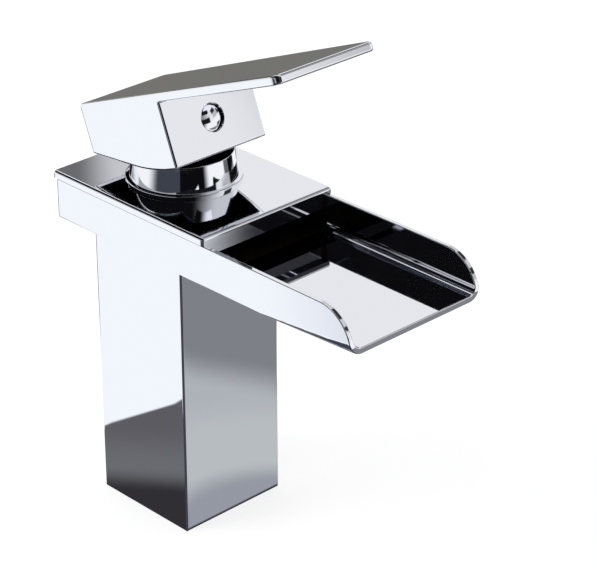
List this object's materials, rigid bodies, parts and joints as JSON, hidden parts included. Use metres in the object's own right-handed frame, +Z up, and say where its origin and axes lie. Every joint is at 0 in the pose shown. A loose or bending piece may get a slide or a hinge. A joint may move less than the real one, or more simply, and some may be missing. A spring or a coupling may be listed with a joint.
{
  "type": "waterfall basin mixer",
  "caption": "Single-lever waterfall basin mixer with a square column, a wide open trough spout and a flat block lever over a ceramic disc cartridge.",
  "frame": {"origin": "middle of the column's foot, on the deck it stands on", "axes": "+X towards the trough lip, +Z up through the column, +Y to the left of the spout"},
  "size_m": [0.1462, 0.0596, 0.2426],
  "materials": {
    "polished_chrome": "mirror chrome plate on brass and zinc",
    "brass": "turned brass",
    "white_plastic": "moulded acetal",
    "grey_plastic": "moulded acetal",
    "black_plastic": "moulded acetal",
    "ceramic": "lapped alumina",
    "rubber": "moulded rubber",
    "steel": "machined steel",
    "zinc_steel": "zinc plated steel"
  },
  "bodies": {
    "faucet": {"column_body": "polished_chrome", "spout_head": "polished_chrome", "cover_plate": "polished_chrome", "plate_seal": "rubber", "bonnet_collar": "polished_chrome", "retaining_nut": "brass", "cartridge_housing": "white_plastic", "cartridge_base": "grey_plastic", "housing_ring": "rubber", "port_seals": "rubber", "disc_seals": "rubber", "fixed_disc": "ceramic", "thrust_ring": "black_plastic", "base_seal": "rubber", "mounting_stud": "zinc_steel", "rubber_washer": "rubber", "clamp_washer": "zinc_steel", "stud_nut": "brass"},
    "swivel": {"rotor": "white_plastic", "lever_pin": "steel"},
    "lever": {"lever_stem": "steel", "lever_handle": "polished_chrome", "grub_screw": "steel", "screw_cap": "polished_chrome"},
    "disc": {"disc_slider": "black_plastic", "moving_disc": "ceramic"}
  },
  "joints": [
    {"name": "temperature_swivel", "type": "hinge", "parent": "faucet", "child": "swivel", "pos_m": [0, 0, 0.126], "axis": [0, 0, 1], "range_deg": [-45, 45]},
    {"name": "flow_lift", "type": "hinge", "parent": "swivel", "child": "lever", "pos_m": [0, 0, 0.126], "axis": [0, -1, 0], "range_deg": [-21.8, 3.2]},
    {"name": "disc_slide", "type": "slide", "parent": "swivel", "child": "disc", "axis": [1, 0, 0], "range_m": [-0.00485, 0.00072]}
  ],
  "couplings": [
    {"joint": "disc_slide", "follows": "flow_lift", "m_per_rad": 0.0127}
  ]
}
